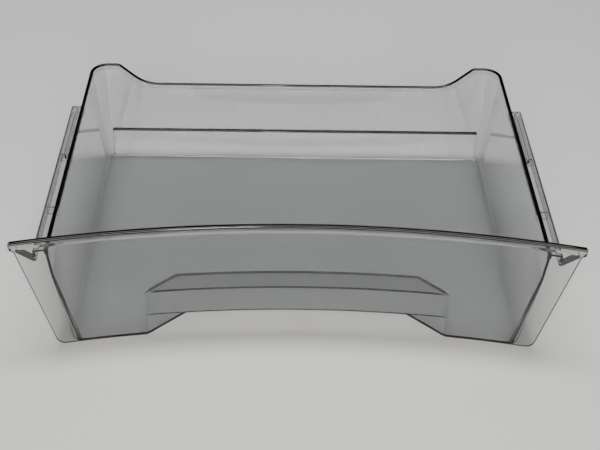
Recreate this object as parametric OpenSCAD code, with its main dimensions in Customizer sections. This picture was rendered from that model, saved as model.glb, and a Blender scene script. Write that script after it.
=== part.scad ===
// Clear refrigerator drawer, moulded in one shot: a drafted box with a bowed front
// panel, a finger pocket under the panel, a dipped back rim and two side runners.
// Millimetres, +Z up. X runs across the drawer and Y from the front to the back.
// The origin is the middle of the drawer's footprint, on the surface it stands on.

/* [Front panel] */
// Width of the front panel at its lip
panel_w = 500; // [400:1:620]
// Height of the front panel to the top of its lip
panel_h = 129; // [104:1:180]
// How far each edge of the panel's foot lies in from the edge at the top
foot_in = 26.5; // [16:0.5:40]
// How far the middle of the panel is set back from its two ends
bow = 28; // [12:1:36]
// Thickness of the front panel
panel_t = 2.6; // [2:0.1:4]
// Radius of the two lower corners of the panel
foot_r = 9; // [3:0.5:14]
// Height of the thick lip along the top of the panel
lip_h = 9; // [7:0.5:12]
// Thickness of the lip
lip_t = 5.4; // [4:0.1:7]
// How far the lip stands proud of the panel's face
lip_front = 0.8; // [0.4:0.1:1.4]
// How far each end of the lip runs out past the panel's side edge
lip_over = 2; // [1:0.1:4]

/* [Box] */
// Distance in from the edge of the panel's foot to the inside of the box
box_in = 11; // [9:0.5:20]
// Depth of the box inside at floor level, from the ends of the panel to the back wall
base_d = 305; // [240:1:420]
// How far the side rims lie below the top of the panel
rim_drop = 11; // [8:0.5:20]
// Slope of the box walls, in degrees, that lets the box leave its mould
draft = 4; // [2:0.1:5]
// Thickness of the box walls
wall_t = 2.4; // [1.8:0.1:3.2]
// Thickness of the floor
floor_t = 2; // [1.6:0.1:4]
// Radius of the box's back corners inside, at floor level
corner_r = 7; // [7:0.5:18]
// Radius inside, where the walls turn into the floor
floor_r = 6.5; // [3:0.5:7]
// Radius inside each front corner at the floor, which shrinks on the way up
front_corner_r = 12; // [8:0.5:16]
// Height at which that radius has come down to nothing
front_corner_h = 86; // [50:1:88]
// Thickness of the band round the rim
band_t = 3.8; // [3.6:0.1:5]
// Height of the band round the rim
band_h = 6.5; // [5:0.5:9]

/* [Back wall] */
// How far the back rim dips below the side rims
dip_drop = 23; // [14:0.5:34]
// How far in from the turn of a back corner the rim starts down
dip_in = 9; // [2:0.5:30]
// Steepest slope of the rim between a raised end and the dip, in degrees
dip_slope = 40; // [30:1:50]
// Radius where that slope runs out into the dip
dip_foot_r = 42; // [12:1:52]
// Radius under the band where that slope leaves a raised end
dip_knee_r = 1; // [0.5:0.5:8]
// Height of the shoulder across the back wall
shoulder_h = 37; // [20:1:60]
// How far the back wall steps forward below the shoulder
shoulder_in = 2.5; // [1.5:0.1:3.5]

/* [Finger pocket] */
// Width of the pocket where it meets the panel
pocket_w = 283; // [200:1:330]
// Angle at which the pocket's sides close in on their way back, in degrees
pocket_splay = 49; // [20:1:55]
// Depth of the pocket at its foot, from the face of the panel to the face of its back wall
pocket_d = 26; // [18:1:40]
// Angle at which the pocket's back wall leans towards the panel on its way up, in degrees
pocket_lean = 5; // [0:0.5:8]
// Height of the pocket, to the top of its ceiling
pocket_h = 55; // [44:1:70]
// Height of the gap under the grip, which a hand reaches in through
grip_gap = 25.5; // [20:0.5:34]
// Radius of the pocket's upper corners
pocket_r = 7; // [4:0.5:12]

/* [Runners] */
// Distance that each runner stands out from the wall of the box, at the rim
runner_out = 10; // [8:0.5:12]
// Depth of the runner's hanging skirt, over its top
runner_h = 12; // [8:0.5:16]
// Thickness of the runner's top and skirt
runner_t = 2.2; // [1.6:0.1:3]
// How far the runner stops short of the inside of the back wall
runner_short = 73; // [30:1:140]
// Distance between the cross ribs under the runner
rib_pitch = 82; // [50:1:110]
// Thickness of the ribs
rib_t = 2; // [1.4:0.1:3]
// How far the feet of the cross ribs stay above the foot of the skirt
rib_rise = 2; // [1:0.5:5]
// How far the slanting rib at each end of the panel stands out behind it
wing_d = 6; // [3:0.5:10]

/* [Hidden] */
$fn = 96;
bow_fn = 256;
overlap = 1;
reach = 60;

foot_w = panel_w - 2*foot_in;
base_w = foot_w - 2*box_in;
rim_h = panel_h - rim_drop;

// The panel is part of an upright ring whose centre lies in front of the drawer.
bow_r = (pow(panel_w/2, 2) + bow*bow)/(2*bow);
bow_y = bow - bow_r;
mid_r = bow_r + panel_t/2;
// The lip's ends are cut square across and bevelled at their corners, and the
// panel's edges flare out to them from flare_drop under the lip.
end_bevel = 1.5;
flare_drop = 1.5;
end_tip = lip_t/2 - end_bevel;
end_x = panel_w/2 + lip_over;
end_y = ring_y(bow_r - lip_front + lip_t/2, end_x);
lip_z = panel_h - lip_h;

// The walls lean out by lean for each millimetre of height. The back corners turn
// about upright axes, axis_x to each side and axis_y behind the panel's ends.
lean = tan(draft);
axis_x = base_w/2 - corner_r;
axis_y = base_d - corner_r;

// The middle line of the rim's band, which the walls run up to. The band is round on
// top and has a small radius along each edge of its foot.
wall_top = rim_h - band_h/2;
dip_line = wall_top - dip_drop;
dip_x = axis_x - dip_in;
knee_r = dip_knee_r + band_h/2;
band_r = band_t/2;
band_foot_r = 0.4;

// The runner lies just below the rim, and its outer edge is bevelled.
runner_z = rim_h - 1;
runner_bevel = 1;
runner_end = base_d - runner_short;
skirt_z = runner_z - runner_h;
runner_x = wall_x(rim_h, wall_t) + runner_out;

// The lip reaches furthest forward where its front face meets an end's bevel.
face_y = ring_y(bow_r - lip_front, end_x);
face_slope = end_x/(face_y - bow_y);
front_y = face_y + face_slope*(end_y - end_tip - face_y)/(1 + face_slope);
back_y = max([for (p = band_profile()) on_back(wall_top) + p[0]*cos(draft) + p[1]*sin(draft)]);
mid_y = (front_y + back_y)/2;

// Points along an arc about c, from angle a0 to a1 in n steps.
function arc(c, r, a0, a1, n) =
    [for (i = [0 : n]) let (a = a0 + (a1 - a0)*i/n) [c[0] + r*cos(a), c[1] + r*sin(a)]];

// How far back a ring of radius r about the panel's centre lies, x to the side.
function ring_y(r, x) = bow_y + sqrt(r*r - x*x);

// Runs the first and the last segment of an arc on by as much again, so that it crosses
// the two faces that it would only touch.
function run_on(points) = let (n = len(points) - 1)
    concat([2*points[0] - points[1]], [for (i = [1 : n - 1]) points[i]],
           [2*points[n] - points[n - 1]]);

function flipped(points) = [for (i = [len(points) - 1 : -1 : 0]) [-points[i][0], points[i][1]]];

// Where a wall face lies at height z, from a corner's axis and from the middle of
// the box. out is 0 on the inner face and wall_t on the outer one.
function corner_at(z, out) = corner_r + out + z*lean;
function wall_x(z, out) = axis_x + corner_at(z, out);
function wall_y(z, out) = axis_y + corner_at(z, out);
function on_back(z) = wall_y(z, wall_t/2);

// Section of a wall, from a corner's axis outwards, with its round turn into a floor
// whose face is at height bottom.
module wall_section(out, bottom, r, top) {
    cx = corner_at(bottom + r, out) - r/cos(draft);
    polygon(concat([[0, top], [0, bottom]], arc([cx, bottom + r], r, -90, -draft, 8),
                   [[corner_at(top, out), top]]));
}

// The box as a solid: a straight run along each side and along the back, a cone at
// each back corner and a block between them. It runs on past the panel.
module drafted_box(out, bottom, r, top) {
    translate([-axis_x, -reach, bottom]) cube([2*axis_x, axis_y + reach, top - bottom]);
    translate([-axis_x, axis_y, 0]) rotate([90, 0, 90])
        linear_extrude(2*axis_x) wall_section(out, bottom, r, top);
    for (s = [0, 1]) mirror([s, 0, 0]) translate([axis_x, axis_y, 0]) {
        rotate([90, 0, 0]) linear_extrude(axis_y + reach) wall_section(out, bottom, r, top);
        rotate_extrude(angle = 90) wall_section(out, bottom, r, top);
    }
}

// Upright disc about the centre of the panel's ring.
module bow_disc(r, z0, z1) {
    translate([0, bow_y, z0]) cylinder(r = r, h = z1 - z0, $fn = bow_fn);
}

// Everything between two radii of the panel's ring.
module bow_ring(r0, r1, z0, z1) {
    difference() {
        bow_disc(r1, z0, z1);
        bow_disc(r0, z0 - overlap, z1 + overlap);
    }
}

// Stands a flat outline up to face the front, as a block that the panel lies in.
module facing_front() {
    translate([0, bow + reach, 0]) rotate([90, 0, 0]) linear_extrude(2*reach) children();
}

// The panel's side edges run out from the foot to the lip.
side_a = atan((panel_w - foot_w)/2/panel_h);
function panel_edge(z) = foot_w/2 + z*tan(side_a);

// Outline of the panel from the front: wider at the lip than at the foot, with round
// lower corners. Just under the lip it flares out to the lip's ends.
module panel_outline() {
    run = foot_r*tan(45 - side_a/2);
    flare_z = lip_z - flare_drop;
    flare = end_x - panel_edge(flare_z);
    half = concat(arc([foot_w/2 - run, foot_r], foot_r, -90, -side_a, 8),
                  [[panel_edge(flare_z), flare_z], [end_x, flare_z + flare],
                   [end_x, panel_h - end_bevel],
                   [end_x - end_bevel - overlap, panel_h + overlap]]);
    polygon(concat(half, flipped(half)));
}

// Outline of the panel from above, which only cuts the bevels on the lip's ends.
module panel_plan() {
    half = [[end_x - reach, end_y - end_tip - reach], [end_x, end_y - end_tip],
            [end_x, end_y + end_tip], [end_x - reach, end_y + end_tip + reach]];
    polygon(concat(half, flipped(half)));
}

// Section of the panel and its lip, from the centre of the ring outwards.
module front_section() {
    edge_r = 0.4*lip_t;
    front = bow_r - lip_front;
    back = front + lip_t;
    polygon(concat([[bow_r, 0], [bow_r + panel_t, 0], [bow_r + panel_t, lip_z],
                    [back, lip_z + back - bow_r - panel_t]],
                   arc([back - edge_r, panel_h - edge_r], edge_r, 0, 90, 4),
                   arc([front + edge_r, panel_h - edge_r], edge_r, 90, 180, 4),
                   [[front, lip_z + lip_front], [bow_r, lip_z]]));
}

// Front panel with the thick lip along its top. Its foot is open under the grip.
module panel() {
    end_a = asin((end_x + overlap)/(bow_r - lip_front));
    difference() {
        intersection() {
            translate([0, bow_y, 0]) rotate([0, 0, 90 - end_a])
                rotate_extrude(angle = 2*end_a, $fn = bow_fn) front_section();
            facing_front() panel_outline();
            translate([0, 0, -overlap]) linear_extrude(panel_h + 2*overlap) panel_plan();
        }
        facing_front() translate([-pocket_w/2, -overlap]) square([pocket_w, grip_gap + overlap]);
    }
}

// What the right front corner of the box loses between its face and its round turn,
// as a pyramid with its point on the corner, where the turn runs out.
module front_corner(out) {
    back_r = bow_r + panel_t;
    base_x = wall_x(-overlap, 0);
    base_y = ring_y(back_r, base_x);
    slant = asin(base_x/back_r);
    centre = [base_x - front_corner_r, base_y + front_corner_r*(1 + sin(slant))/cos(slant)];
    corner = [base_x + out + front_corner_r, base_y - front_corner_r];
    plan = concat([corner], run_on(arc(centre, front_corner_r + out, 0, -90 - slant, 6)));
    tip_x = wall_x(front_corner_h, out);
    tip = len(plan);
    polyhedron(concat([for (p = plan) [p[0], p[1], -overlap]],
                      [[tip_x, ring_y(back_r, tip_x), front_corner_h]]),
               concat([[for (i = [0 : tip - 1]) i]],
                      [for (i = [0 : tip - 1]) [i, tip, (i + 1) % tip]]));
}

// The line that the rim's band follows down into the dip, from a raised end towards
// the middle of the back wall, and the band's slope at each of its points.
slope_rise = wall_top - dip_line - (dip_foot_r + knee_r)*(1 - cos(dip_slope));
foot_x = dip_x - (dip_foot_r + knee_r)*sin(dip_slope) - slope_rise/tan(dip_slope);
knee_steps = 6;
foot_steps = 10;
function dip_half() = concat(
    arc([dip_x, wall_top - knee_r], knee_r, 90, 90 + dip_slope, knee_steps),
    arc([foot_x, dip_line + dip_foot_r], dip_foot_r, dip_slope - 90, -90, foot_steps));
function dip_slopes() = concat([for (i = [0 : knee_steps]) -dip_slope*i/knee_steps],
                               [for (i = [foot_steps : -1 : 0]) -dip_slope*i/foot_steps]);

// What is cut out of the back wall above the dip.
module dip_cut() {
    half = concat([[dip_x, rim_h]], dip_half());
    translate([0, axis_y + reach, 0]) rotate([90, 0, 0]) linear_extrude(reach)
        polygon(concat(half, flipped(half)));
}

// Section of the band: x across the wall and y up it.
function band_profile() = let (foot = [band_r - band_foot_r, band_foot_r - band_h/2])
    concat(arc([0, band_h/2 - band_r], band_r, 0, 180, 8),
           arc([-foot[0], foot[1]], band_foot_r, 180, 270, 2),
           arc(foot, band_foot_r, 270, 360, 2));

// Stations along the band, from the right end of the panel round the back to the
// left one: the place, the direction that the wall faces and the slope of the band.
corner_steps = 9;
function band_right() = let (r = corner_at(wall_top, wall_t/2), back = dip_half(), slopes = dip_slopes())
    concat([[[axis_x + r, -reach/2, wall_top], 0, 0]],
           [for (i = [0 : corner_steps]) let (a = 90*i/corner_steps)
               [[axis_x + r*cos(a), axis_y + r*sin(a), wall_top], a, 0]],
           [for (i = [0 : len(back) - 1])
               [[back[i][0], on_back(back[i][1]), back[i][1]], 90, slopes[i]]]);
function band_stations() = let (right = band_right())
    concat(right, [for (i = [len(right) - 1 : -1 : 0]) let (s = right[i])
        [[-s[0][0], s[0][1], s[0][2]], 180 - s[1], -s[2]]]);

// The band itself: its section is carried from station to station, upright in the
// wall that it crowns.
module band() {
    section = band_profile();
    stations = band_stations();
    m = len(section);
    last = len(stations) - 1;
    points = [for (s = stations, p = section)
        let (along = [-sin(s[1]), cos(s[1]), 0],
             up = [cos(s[1])*sin(draft), sin(s[1])*sin(draft), cos(draft)],
             out = [cos(s[1])*cos(draft), sin(s[1])*cos(draft), -sin(draft)])
        s[0] + p[0]*out + p[1]*(cos(s[2])*up - sin(s[2])*along)];
    sides = [for (i = [0 : last - 1], j = [0 : m - 1]) let (a = i*m, b = a + m, k = (j + 1) % m)
        each [[a + j, a + k, b + j], [a + k, b + k, b + j]]];
    ends = [[for (j = [m - 1 : -1 : 0]) j], [for (j = [0 : m - 1]) last*m + j]];
    polyhedron(points, concat(sides, ends));
}

// The back wall steps forward below its shoulder. This is the space between a face
// of the wall and that step.
module shoulder(out) {
    half_w = axis_x + corner_r/4;
    foot = wall_y(-overlap, out) - shoulder_in;
    top = wall_y(shoulder_h - shoulder_in, out);
    translate([-half_w, 0, 0]) rotate([90, 0, 90]) linear_extrude(2*half_w)
        polygon(concat([[foot, -overlap], [wall_y(0, out) + overlap, -overlap],
                        [wall_y(shoulder_h, out) + overlap, shoulder_h]],
                       arc([top, shoulder_h - shoulder_in], shoulder_in, 90, 180 - draft, 5)));
}

// Plan of the pocket, whose sides close in towards a point far behind it. grow widens
// it by the thickness of the pocket's own walls.
module pocket_plan(grow) {
    mouth_y = ring_y(bow_r, pocket_w/2);
    half_w = pocket_w/2 + grow/cos(pocket_splay);
    run = tan(pocket_splay);
    polygon([[-half_w - run*reach, mouth_y - reach], [half_w + run*reach, mouth_y - reach],
             [0, mouth_y + half_w/run]]);
}

// Outline of the pocket from the front, with round upper corners.
module pocket_face(grow) {
    half_w = pocket_w/2 + grow;
    top = pocket_h - wall_t + grow;
    r = pocket_r + grow;
    half = concat([[half_w, -2*overlap]], arc([half_w - r, top - r], r, 0, 90, 6));
    polygon(concat(half, flipped(half)));
}

// The pocket as a solid, from height z0 up. At the floor it runs back to radius r1 of
// the panel's ring, and its back wall leans forward from there.
module pocket_body(grow, r1, z0) {
    z1 = pocket_h + overlap;
    lean_in = tan(pocket_lean);
    intersection() {
        difference() {
            translate([0, bow_y, z0])
                cylinder(r1 = r1 - z0*lean_in, r2 = r1 - z1*lean_in, h = z1 - z0, $fn = bow_fn);
            bow_disc(bow_r - overlap, z0 - overlap, z1 + overlap);
        }
        translate([0, 0, -2*overlap]) linear_extrude(pocket_h + 4*overlap) pocket_plan(grow);
        facing_front() pocket_face(grow);
    }
}

// Runner on the right: a flat top, a hanging skirt, cross ribs, a closed back end
// and a guide rib down the middle of the last stretch.
module runner() {
    in_x = wall_x(skirt_z, wall_t/2);
    under = runner_z - runner_t/2;
    ribs = floor((runner_end - 3*rib_t)/rib_pitch);
    first_rib = runner_end - rib_t - ribs*rib_pitch;
    last_rib = first_rib + (ribs - 1)*rib_pitch;
    translate([0, runner_end, 0]) rotate([90, 0, 0]) linear_extrude(runner_end + reach/2)
        polygon([[in_x, runner_z], [in_x, runner_z - runner_t],
                 [runner_x - runner_t, runner_z - runner_t], [runner_x - runner_t, skirt_z],
                 [runner_x, skirt_z], [runner_x, runner_z - runner_bevel],
                 [runner_x - runner_bevel, runner_z]]);
    for (i = [0 : ribs])
        translate([in_x, first_rib + i*rib_pitch, skirt_z + rib_rise])
            cube([runner_x - runner_t/2 - in_x, rib_t, under - skirt_z - rib_rise]);
    translate([(wall_x(runner_z, wall_t) + runner_x - runner_t - rib_t)/2, last_rib,
               skirt_z + 2*rib_rise])
        cube([rib_t, runner_end - last_rib - rib_t/2, under - skirt_z - 2*rib_rise]);
}

// Slanting rib behind each end of the panel, from the runner's skirt up to the lip.
module wing_rib() {
    x0 = runner_x - runner_t;
    x1 = panel_edge(lip_z) - overlap;
    slant = atan2(lip_z - skirt_z, x1 - x0);
    intersection() {
        bow_ring(mid_r, bow_r + panel_t + wing_d, skirt_z - overlap, panel_h);
        facing_front() polygon([[x0, skirt_z], [x0 + rib_t/sin(slant), skirt_z],
                                [x1, lip_z - rib_t/cos(slant)], [x1, lip_z]]);
    }
}

module sides() {
    for (s = [0, 1]) mirror([s, 0, 0]) children();
}

// The box with its walls, runners and rim, still without a front.
module box() {
    difference() {
        union() {
            difference() {
                drafted_box(wall_t, 0, min(floor_r + floor_t, corner_r + wall_t), wall_top);
                shoulder(wall_t);
                dip_cut();
                sides() front_corner(wall_t);
            }
            sides() runner();
        }
        difference() {
            drafted_box(0, floor_t, floor_r, rim_h + overlap);
            shoulder(0);
            sides() front_corner(0);
        }
    }
    band();
}

module drawer() {
    color([0.62, 0.70, 0.75, 0.45]) translate([0, -mid_y, 0]) {
        difference() {
            union() {
                box();
                pocket_body(wall_t, bow_r + pocket_d + wall_t/cos(pocket_lean), 0);
            }
            pocket_body(0, bow_r + pocket_d, -overlap);
            bow_disc(mid_r, -overlap, panel_h);
        }
        panel();
        sides() wing_rib();
    }
}

drawer();
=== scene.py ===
# %% [markdown]
# # A clear fridge drawer
#
# The drawer is one injection moulding in clear plastic: a bowed front panel with a thick
# lip, a drafted box, a finger pocket under the panel and a runner along each side. The
# solid model of it is already packed. Here it gets its surface, its material, its light
# and its camera.

# %% Load the frame and note its size
import math

import bmesh
import bpy
import numpy as np
from mathutils import Matrix, Vector


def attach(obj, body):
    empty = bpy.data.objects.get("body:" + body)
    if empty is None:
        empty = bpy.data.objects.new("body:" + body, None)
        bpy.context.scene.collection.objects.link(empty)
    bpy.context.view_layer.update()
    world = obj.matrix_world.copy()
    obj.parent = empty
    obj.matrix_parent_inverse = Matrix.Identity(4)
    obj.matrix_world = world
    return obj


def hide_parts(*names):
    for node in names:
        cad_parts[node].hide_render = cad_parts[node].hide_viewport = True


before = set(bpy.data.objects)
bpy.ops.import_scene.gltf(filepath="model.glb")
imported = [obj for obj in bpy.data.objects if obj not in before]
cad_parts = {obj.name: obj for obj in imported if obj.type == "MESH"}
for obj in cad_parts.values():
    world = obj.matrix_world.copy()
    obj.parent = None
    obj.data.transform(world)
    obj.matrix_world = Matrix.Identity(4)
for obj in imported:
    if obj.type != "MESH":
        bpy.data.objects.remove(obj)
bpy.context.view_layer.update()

# %% [markdown]
# ## The camera
#
# The photograph looks down on the drawer from in front, at about forty degrees. A camera
# could be aimed at the drawer's middle, but the photograph was taken slightly from the
# left and a little out of level, so the place and the three angles are given one by one.

# %% Place the camera
CAMERA_PLACE = Vector((-0.0183, -0.8579, 0.7393))
LOOKS_DOWN = math.radians(39.895)
TURNED_RIGHT = math.radians(1.497)
ROLLED = math.radians(1.559)
FOCAL_PIXELS = 1073.95
FRAME_PIXELS = 600
SENSOR_MM = 36

camera = bpy.data.objects.new("camera", bpy.data.cameras.new("camera"))
camera.data.sensor_width = SENSOR_MM
camera.data.lens = FOCAL_PIXELS/FRAME_PIXELS*SENSOR_MM
camera.matrix_world = (Matrix.Translation(CAMERA_PLACE)
                       @ Matrix.Rotation(-TURNED_RIGHT, 4, "Z")
                       @ Matrix.Rotation(math.pi/2 - LOOKS_DOWN, 4, "X")
                       @ Matrix.Rotation(ROLLED, 4, "Z"))
bpy.context.scene.collection.objects.link(camera)
bpy.context.scene.camera = camera
print("Lens:", round(camera.data.lens, 2), "mm")

# %% [markdown]
# ## Shader maths
#
# A node tree is easier to read as a formula. A small class wraps a socket, so that an
# expression in Python adds the Math nodes that it stands for.

# %% Wrap sockets in expressions
class Value:
    """A socket of a node tree, with the operators of ordinary arithmetic."""

    def __init__(self, tree, socket):
        self.tree = tree
        self.socket = socket

    def math(self, operation, *others):
        inputs = {i: v for i, v in enumerate((self, *others))}
        return add_node(self.tree, "ShaderNodeMath", {"operation": operation}, inputs)

    def __add__(self, other):
        return self.math("ADD", other)

    def __mul__(self, other):
        return self.math("MULTIPLY", other)

    def __sub__(self, other):
        return self.math("SUBTRACT", other)

    def __rsub__(self, other):
        return (self*-1) + other

    __radd__ = __add__
    __rmul__ = __mul__


def add_node(tree, kind, settings=None, inputs=None, output=0):
    """Adds one node: its settings first, then the values or links of its sockets."""
    node = tree.nodes.new(kind)
    for name, value in (settings or {}).items():
        setattr(node, name, value)
    for name, value in (inputs or {}).items():
        if isinstance(value, Value):
            tree.links.new(value.socket, node.inputs[name])
        else:
            node.inputs[name].default_value = value
    return Value(tree, node.outputs[output])

# %% [markdown]
# ## The clear plastic
#
# Such drawers are moulded in clear polystyrene. Thin walls of it look almost colourless,
# and thick or edge-on stretches look smoky, because light loses a little for each
# millimetre that it travels inside. A tinted surface would darken all walls alike, so the
# tint is put inside the volume, and elsewhere the surface only bends and mirrors light.
# Handling leaves a faint haze that comes and goes over a hand's width. The edges of the
# sheet look nearly black, as they mirror and bend the dark room round them. That shade is
# painted on: an attribute of the mesh, made further down, says where the edges are, and
# there the surface is painted as a dark mirror that lets little light through.

# %% Mix the plastic
REFRACTION = 1.57
SMOKE = (0.600, 0.612, 0.612, 1)
SMOKE_PER_METRE = 225
POLISH = 0.012
HAZE = 0.035
HAZE_SIZE = 0.08
HAZE_DETAIL = 3.0
CLEAR = (1, 1, 1, 1)
# Painted shade: the near-black colour of the sheet's edges, and how much of them turns into a
# dark mirror.
PAINTED_EDGE_SHADE = (0.022, 0.021, 0.020, 1)
PAINTED_SHADE_COVER = 0.85
# A Mix node has sockets of the same name for each kind of data: these are its colours.
MIX_FROM, MIX_TO, MIX_RESULT = 6, 7, 2


def clear_plastic():
    """Builds the drawer's only material, which is clear and hazy, with shade painted on its
    edges.
    """
    material = bpy.data.materials.new("clear_plastic")
    material.use_nodes = True
    tree = material.node_tree
    tree.nodes.clear()
    place = add_node(tree, "ShaderNodeTexCoord", output="Object")
    haze = add_node(tree, "ShaderNodeTexNoise", inputs={
        "Vector": place, "Scale": 1/HAZE_SIZE, "Detail": HAZE_DETAIL})
    # Painted shade: faces noted as edges get a near-black, mirror-like surface.
    edge = add_node(tree, "ShaderNodeAttribute", {"attribute_name": "painted_shade_edge"},
                    output="Fac")
    tone_with_painted_shade = add_node(tree, "ShaderNodeMix", {"data_type": "RGBA"}, {
        "Factor": edge, MIX_FROM: CLEAR, MIX_TO: PAINTED_EDGE_SHADE}, output=MIX_RESULT)
    surface = add_node(tree, "ShaderNodeBsdfPrincipled", inputs={
        "Base Color": tone_with_painted_shade, "Roughness": haze*HAZE + POLISH, "IOR": REFRACTION,
        "Metallic": edge*PAINTED_SHADE_COVER, "Transmission Weight": 1.0})
    inside = add_node(tree, "ShaderNodeVolumeAbsorption", inputs={
        "Color": SMOKE, "Density": SMOKE_PER_METRE})
    output = tree.nodes.new("ShaderNodeOutputMaterial")
    tree.links.new(surface.socket, output.inputs["Surface"])
    tree.links.new(inside.socket, output.inputs["Volume"])
    return material


plastic = clear_plastic()
print("Clear plastic:", len(plastic.node_tree.nodes), "nodes")

# %% [markdown]
# ## The moulding
#
# The panel is bowed, and the solid model's mesh follows the bow in flat steps of about
# 23 mm. Opaque plastic would hide them, but clear plastic bends light at every step, and
# the lip's long lines come out jagged. The steps could be smoothed by a subdivision
# surface, which would also round off every crisp edge. Here a Geometry Nodes tree uses
# what is known about the bow instead: the panel curves inwards, about an upright axis in
# front of the drawer. Each point's distance from that axis is noted, every face is cut into
# smaller ones, and each new point between points near the bow is pushed out to the distance
# that they had.

# %% Describe the bow
BOW_AXIS = -1.2597
BOW_REACH = 1.165
CUTS = 2
ALL_NEAR = 0.999
print("Bow axis:", -BOW_AXIS, "m in front of the drawer's middle")

# %% Build the tree that rounds the bow
def input_socket(tree, name, kind, default=None):
    """Gives the tree a named input, with the value that it has if nothing else is set."""
    socket = tree.interface.new_socket(name, in_out="INPUT", socket_type=kind)
    if default is not None:
        socket.default_value = default
    return socket


def distance_from_axis(tree, axis):
    """Where a point is: its x, its y from the axis, its z, and its distance from the axis."""
    place = add_node(tree, "GeometryNodeInputPosition")
    parts = tree.nodes.new("ShaderNodeSeparateXYZ")
    tree.links.new(place.socket, parts.inputs[0])
    x, y, z = (Value(tree, parts.outputs[i]) for i in range(3))
    y = y - axis
    return x, y, z, (x*x + y*y).math("SQRT")


def store(tree, mesh, name, value):
    """Notes a number at each point of the mesh."""
    return add_node(tree, "GeometryNodeStoreNamedAttribute",
                    {"data_type": "FLOAT", "domain": "POINT"},
                    {"Geometry": mesh, "Name": name, "Value": value})


def stored(tree, name):
    """Reads a number that was noted at each point."""
    return add_node(tree, "GeometryNodeInputNamedAttribute", {"data_type": "FLOAT"},
                    {"Name": name})


def rounding_tree(material):
    """Cuts the faces of a mesh and pushes the new points near the axis out to the bow."""
    tree = bpy.data.node_groups.new("round_the_bow", "GeometryNodeTree")
    input_socket(tree, "Geometry", "NodeSocketGeometry")
    input_socket(tree, "Bow Axis", "NodeSocketFloat", BOW_AXIS)
    input_socket(tree, "Bow Reach", "NodeSocketFloat", BOW_REACH)
    input_socket(tree, "Cuts", "NodeSocketInt", CUTS)
    tree.interface.new_socket("Geometry", in_out="OUTPUT", socket_type="NodeSocketGeometry")
    entry = tree.nodes.new("NodeGroupInput")
    given = {socket.name: Value(tree, socket) for socket in entry.outputs if socket.name}

    mesh = given["Geometry"]
    axis = given["Bow Axis"]
    distance = distance_from_axis(tree, axis)[3]
    mesh = store(tree, mesh, "bow_distance", distance)
    mesh = store(tree, mesh, "near_bow", distance.math("LESS_THAN", given["Bow Reach"]))
    mesh = add_node(tree, "GeometryNodeSubdivideMesh", inputs={
        "Mesh": mesh, "Level": given["Cuts"]})

    x, y, z, distance = distance_from_axis(tree, axis)
    push = stored(tree, "bow_distance").math("DIVIDE", distance)
    rounded = add_node(tree, "ShaderNodeCombineXYZ", inputs={
        "X": x*push, "Y": y*push + axis, "Z": z})
    between = stored(tree, "near_bow").math("GREATER_THAN", ALL_NEAR)
    mesh = add_node(tree, "GeometryNodeSetPosition", inputs={
        "Geometry": mesh, "Selection": between, "Position": rounded})
    for name in ("bow_distance", "near_bow"):
        mesh = add_node(tree, "GeometryNodeRemoveAttribute", inputs={
            "Geometry": mesh, "Name": name})
    mesh = add_node(tree, "GeometryNodeRealizeInstances", inputs={"Geometry": mesh})
    mesh = add_node(tree, "GeometryNodeSetMaterial", inputs={
        "Geometry": mesh, "Material": material})
    leave = tree.nodes.new("NodeGroupOutput")
    tree.links.new(mesh.socket, leave.inputs["Geometry"])
    return tree


bow_tree = rounding_tree(plastic)
print("Tree that rounds the bow:", len(bow_tree.nodes), "nodes")

# %% [markdown]
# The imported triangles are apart, so light would bend at every one of them. They are joined
# first, and normals are smoothed wherever two faces meet at a shallow angle. Large flat
# faces outweigh the small ones of a rounding, or the rounding would bend the light in the
# middle of a wall. These normals are noted at every corner before the faces are cut, so
# that the cut mesh shades like a true rounding and not like the flats it was made from.

# %% Join the triangles and smooth between their edges
WELD = 2e-7
SMOOTH_UNDER = math.radians(35)
FLAT_FACE_WEIGHT = 100


def finished(piece):
    """Turns the piece with its modifiers into a plain mesh."""
    depsgraph = bpy.context.evaluated_depsgraph_get()
    mesh = bpy.data.meshes.new_from_object(piece.evaluated_get(depsgraph))
    piece.modifiers.clear()
    piece.data = mesh
    return piece


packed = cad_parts["drawer"].data.copy()
packed.materials.clear()
packed.materials.append(plastic)
moulding = bpy.data.objects.new("drawer_moulding", packed)
bpy.context.scene.collection.objects.link(moulding)
moulding.modifiers.new("weld", "WELD").merge_threshold = WELD
moulding = finished(moulding)
joined = moulding.data
if "custom_normal" in joined.attributes:
    joined.attributes.remove(joined.attributes["custom_normal"])
joined.shade_smooth()
joined.set_sharp_from_angle(angle=SMOOTH_UNDER)
weigh = moulding.modifiers.new("weigh", "WEIGHTED_NORMAL")
weigh.keep_sharp = True
weigh.weight = FLAT_FACE_WEIGHT
moulding = finished(moulding)
print("Joined:", len(moulding.data.vertices), "points,", len(moulding.data.polygons), "faces")

# %% [markdown]
# Seen close, the drawer's rims, its lip and its cut edges are nearly black. That is shade:
# they mirror and bend the dark room round them, and light that gets in there is led away
# sideways inside the sheet, over a longer way than a path tracer follows. Here that shade is
# painted on these faces, as a dark mirror. The dark faces could be picked one by one, but
# they would have to be picked again after every change to the solid model. Here they are
# found by their shape. Flat neighbours are gathered into patches, and a patch counts as an
# edge if the surface turns tightly across it, or if it is the narrow top of a rim. High up
# on the drawer, patches that look down are left clear: they are the undersides of the lip,
# the runners and their ribs. Near its foot only those count that do look down, which are
# the cut edges of the panel and the grip. Upright specks, such as the ends of ribs, are left
# clear too.

# %% Find the edges of the sheet, where shade is painted
FLAT_UNDER = math.radians(2.5)
TIGHT_RADIUS = 0.0031
RIM_WIDTH = 0.0045
RIM_ABOVE = 0.03
FACES_UP = 0.7
FACES_DOWN = -0.3
STANDS_UPRIGHT = 0.25
SPECK = 2e-4


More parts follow.
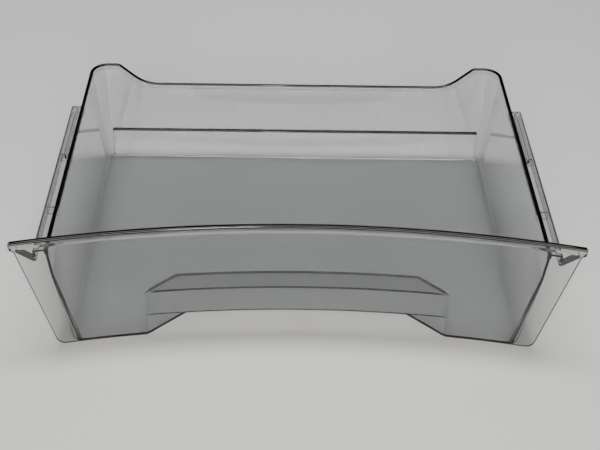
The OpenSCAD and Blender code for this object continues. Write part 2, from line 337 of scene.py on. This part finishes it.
def flat_patches(shape):
    """Gathers the faces that meet nearly flat, as lists of faces."""
    left, patches = set(shape.faces), []
    for first in shape.faces:
        if first not in left:
            continue
        left.remove(first)
        patch, reach = [], [first]
        while reach:
            face = reach.pop()
            patch.append(face)
            for edge in face.edges:
                for other in edge.link_faces:
                    if other in left and edge.calc_face_angle(math.pi) < FLAT_UNDER:
                        left.remove(other)
                        reach.append(other)
        patches.append(patch)
    return patches


def is_edge(patch):
    """Whether a patch is a tight rounding, a cut edge, or the top of a rim."""
    inside = set(patch)
    border = [edge for face in patch for edge in face.edges
              if any(other not in inside for other in edge.link_faces)]
    around = sum(edge.calc_length() for edge in border)
    if not around:
        return False
    area = sum(face.calc_area() for face in patch)
    width = 2*area/around
    turn = sum(edge.calc_length()*edge.calc_face_angle(math.pi) for edge in border)/around
    height = sum(face.calc_center_median().z*face.calc_area() for face in patch)/area
    up = sum(face.normal.z*face.calc_area() for face in patch)/area
    high = height > RIM_ABOVE
    looks_down = up < FACES_DOWN
    speck = area < SPECK and abs(up) < STANDS_UPRIGHT
    if speck or looks_down == high:
        return False
    return width < TIGHT_RADIUS*turn or (high and width < RIM_WIDTH and up > FACES_UP)


def note_painted_shade(mesh):
    """Gives each face the number 1 if it is on an edge of the sheet, where shade is painted,
    and 0 if not.
    """
    shape = bmesh.new()
    shape.from_mesh(mesh)
    dark = np.zeros(len(mesh.polygons), dtype=np.float32)
    for patch in flat_patches(shape):
        if is_edge(patch):
            dark[[face.index for face in patch]] = 1
    shape.free()
    noted = mesh.attributes.new("painted_shade_edge", "FLOAT", "FACE")
    noted.data.foreach_set("value", dark)
    print("Faces on edges:", int(dark.sum()), "of", len(dark))


note_painted_shade(moulding.data)

# %% [markdown]
# Now the faces can be cut and the bow rounded. The tree runs as a modifier, and its result
# is taken as a plain mesh. The noted normals are carried along to the new corners, blended
# between the old ones and so a little short. They are brought back to full length and set.

# %% Note the normals, cut the faces, and put the normals back
def corner_vectors(source, key):
    """Reads one vector for each corner of each face into a flat array."""
    values = np.empty(len(source)*3, dtype=np.float32)
    source.foreach_get(key, values)
    return values


weighed = moulding.data
noted = weighed.attributes.new("noted_normal", "FLOAT_VECTOR", "CORNER")
noted.data.foreach_set("vector", corner_vectors(weighed.corner_normals, "vector"))
moulding.modifiers.new("round_the_bow", "NODES").node_group = bow_tree
moulding = finished(moulding)
mesh = moulding.data
normals = corner_vectors(mesh.attributes["noted_normal"].data, "vector").reshape(-1, 3)
normals /= np.linalg.norm(normals, axis=1, keepdims=True)
mesh.attributes.remove(mesh.attributes["noted_normal"])
mesh.normals_split_custom_set(normals.tolist())
print("Moulding:", len(mesh.vertices), "points,", len(mesh.polygons), "faces")

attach(moulding, "root")
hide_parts("drawer")

# %% [markdown]
# ## The floor and the light
#
# A pale sheet lies under the drawer, a hair lower than its foot, so that no two faces share
# a plane. Clear plastic shows mostly what is round it. A bright room on all sides would
# wash its lines out, so the room is dark here and the light comes from soft panels. A warm
# one in front, like a window, draws the line along the lip. A wide one overhead lights the
# sheet from above, and a small one just over the camera adds glints.

# %% Lay the floor
FLOOR_SIZE = 16
FLOOR_TONE = (0.70, 0.72, 0.73, 1)
FLOOR_ROUGHNESS = 0.7
FLOOR_DROP = 0.0002

floor_mesh = bpy.data.meshes.new("floor")
half = FLOOR_SIZE/2
floor_mesh.from_pydata([(-half, -half, 0), (half, -half, 0), (half, half, 0), (-half, half, 0)],
                       [], [(0, 1, 2, 3)])
floor = bpy.data.objects.new("floor", floor_mesh)
bpy.context.scene.collection.objects.link(floor)
floor.location.z = -FLOOR_DROP
paper = bpy.data.materials.new("pale_paper")
paper.use_nodes = True
paper_shader = paper.node_tree.nodes["Principled BSDF"]
paper_shader.inputs["Base Color"].default_value = FLOOR_TONE
paper_shader.inputs["Roughness"].default_value = FLOOR_ROUGHNESS
floor.data.materials.append(paper)
print("Floor:", FLOOR_SIZE, "m wide")

# %% Light the studio
ROOM_TONE = (0.045, 0.048, 0.052, 1)
WHITE = (1.0, 1.0, 1.0)
WARM = (1.0, 0.92, 0.80)
DRAWER_MIDDLE = (0, 0, 0)
BOUNCES = 32
world = bpy.data.worlds.new("studio")
world.use_nodes = True
world.node_tree.nodes["Background"].inputs["Color"].default_value = ROOM_TONE
world.node_tree.nodes["Background"].inputs["Strength"].default_value = 1.0
bpy.context.scene.world = world


def soft_panel(name, place, aim, size, power, tint=WHITE):
    """A rectangle of even light at place, which faces the point aim."""
    light = bpy.data.lights.new(name, "AREA")
    light.shape = "RECTANGLE"
    light.size, light.size_y = size
    light.energy = power
    light.color = tint
    lamp = bpy.data.objects.new(name, light)
    lamp.location = place
    lamp.rotation_euler = (Vector(aim) - Vector(place)).to_track_quat("-Z", "Y").to_euler()
    bpy.context.scene.collection.objects.link(lamp)
    print(name + ":", power, "watts")


soft_panel("front_window", place=(0, -2.7, 1.5), aim=DRAWER_MIDDLE, size=(1.7, 1.4),
           power=85, tint=WARM)
soft_panel("overhead", place=(0, 0.25, 2.4), aim=(0, 0.1, 0), size=(1.8, 0.50), power=45)
soft_panel("over_the_camera", place=(-0.03, -0.88, 0.85), aim=DRAWER_MIDDLE,
           size=(0.06, 0.10), power=2.5)
# A look through the drawer crosses many faces, so light is followed for longer than usual.
bpy.context.scene.cycles.max_bounces = BOUNCES
bpy.context.scene.cycles.transmission_bounces = BOUNCES
